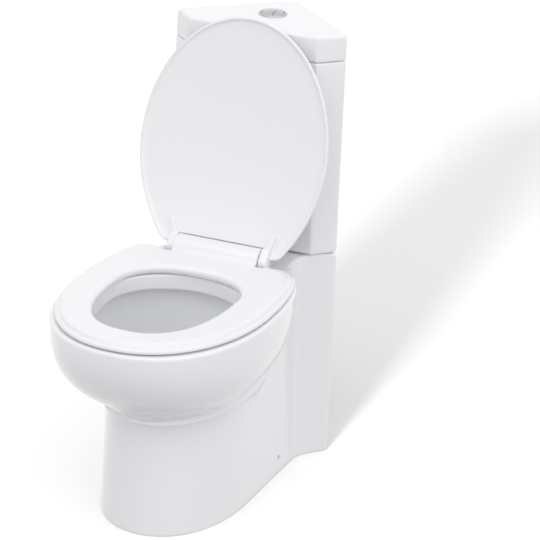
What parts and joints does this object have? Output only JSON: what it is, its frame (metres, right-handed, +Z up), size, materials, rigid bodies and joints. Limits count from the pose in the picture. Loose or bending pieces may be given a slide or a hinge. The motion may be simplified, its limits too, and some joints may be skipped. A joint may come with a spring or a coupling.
{
  "type": "corner toilet",
  "caption": "Close-coupled corner toilet: round-bowl pan with winged pedestal, corner cistern, lift-up ring seat and cover, dual flush buttons.",
  "frame": {"origin": "centre of the footprint's bounding box at floor level", "axes": "+Z up, -Y towards the bowl's front, +Y into the room corner, +X to the right seen from the front"},
  "size_m": [0.384, 0.7698, 0.8425],
  "materials": {
    "glaze": "gloss white glaze",
    "seat_plastic": "gloss white moulded",
    "chrome": "mirror chrome",
    "valve_plastic": "moulded, satin",
    "valve_grey": "moulded, satin",
    "black_rubber": "matt",
    "soft_buffer": "matt translucent white",
    "zinc_steel": "zinc plated",
    "brass": "satin"
  },
  "bodies": {
    "base": {"pan": "glaze", "cistern_tank": "glaze", "flush_valve_body": "valve_plastic", "flush_valve_nut": "valve_plastic", "tank_washer": "black_rubber", "coupling_gasket": "black_rubber", "coupling_bolts": "zinc_steel", "coupling_washers": "black_rubber", "coupling_wing_nuts": "brass", "fill_valve_body": "valve_plastic", "fill_valve_washer": "black_rubber", "fill_valve_nut": "valve_plastic", "hinge_post_left": "zinc_steel", "hinge_post_right": "zinc_steel", "hinge_pin_left": "zinc_steel", "hinge_pin_right": "zinc_steel", "seat_studs": "zinc_steel", "seat_washers": "black_rubber", "seat_wing_nuts": "valve_plastic", "floor_bracket_left": "valve_plastic", "floor_bracket_right": "valve_plastic", "side_screws": "zinc_steel", "side_caps": "seat_plastic"},
    "lid": {"cistern_lid": "glaze", "button_bezel": "chrome", "button_nut": "valve_plastic"},
    "full_button": {"full_flush_button": "chrome"},
    "half_button": {"half_flush_button": "chrome"},
    "valve": {"flush_valve_piston": "valve_grey", "flush_valve_seal": "black_rubber"},
    "float": {"fill_float": "valve_grey"},
    "arm": {"float_arm": "valve_grey"},
    "seat": {"seat_ring": "seat_plastic", "seat_buffers": "soft_buffer", "damper_left": "valve_grey", "damper_right": "valve_grey"},
    "cover_body": {"cover": "seat_plastic"}
  },
  "joints": [
    {"name": "cover_hinge", "type": "hinge", "parent": "base", "child": "cover_body", "pos_m": [0, 0.073, 0.422], "axis": [1, 0, 0], "range_deg": [0, 103.5]},
    {"name": "seat_hinge", "type": "hinge", "parent": "base", "child": "seat", "pos_m": [0, 0.073, 0.422], "axis": [1, 0, 0], "range_deg": [-102, 0]},
    {"name": "cistern_lid_lift", "type": "slide", "parent": "base", "child": "lid", "axis": [0, 0, 1], "range_m": [0, 0.12]},
    {"name": "full_flush_press", "type": "slide", "parent": "lid", "child": "full_button", "axis": [0, 0, -1], "range_m": [0, 0.007], "stiffness_N_per_m": 400, "springref_m": -0.006},
    {"name": "half_flush_press", "type": "slide", "parent": "lid", "child": "half_button", "axis": [0, 0, -1], "range_m": [0, 0.007], "stiffness_N_per_m": 400, "springref_m": -0.006},
    {"name": "flush_valve_lift", "type": "slide", "parent": "base", "child": "valve", "axis": [0, 0, 1], "range_m": [0, 0.021]},
    {"name": "float_slide", "type": "slide", "parent": "base", "child": "float", "axis": [0, 0, 1], "range_m": [0, 0.01]},
    {"name": "float_arm_pivot", "type": "hinge", "parent": "base", "child": "arm", "pos_m": [-0.089, 0.243, 0.663], "axis": [0, -1, 0], "range_deg": [0, 30]}
  ],
  "couplings": [
    {"joint": "flush_valve_lift", "follows": "full_flush_press", "ratio": 2.8571},
    {"joint": "float_arm_pivot", "follows": "float_slide", "rad_per_m": 50}
  ]
}
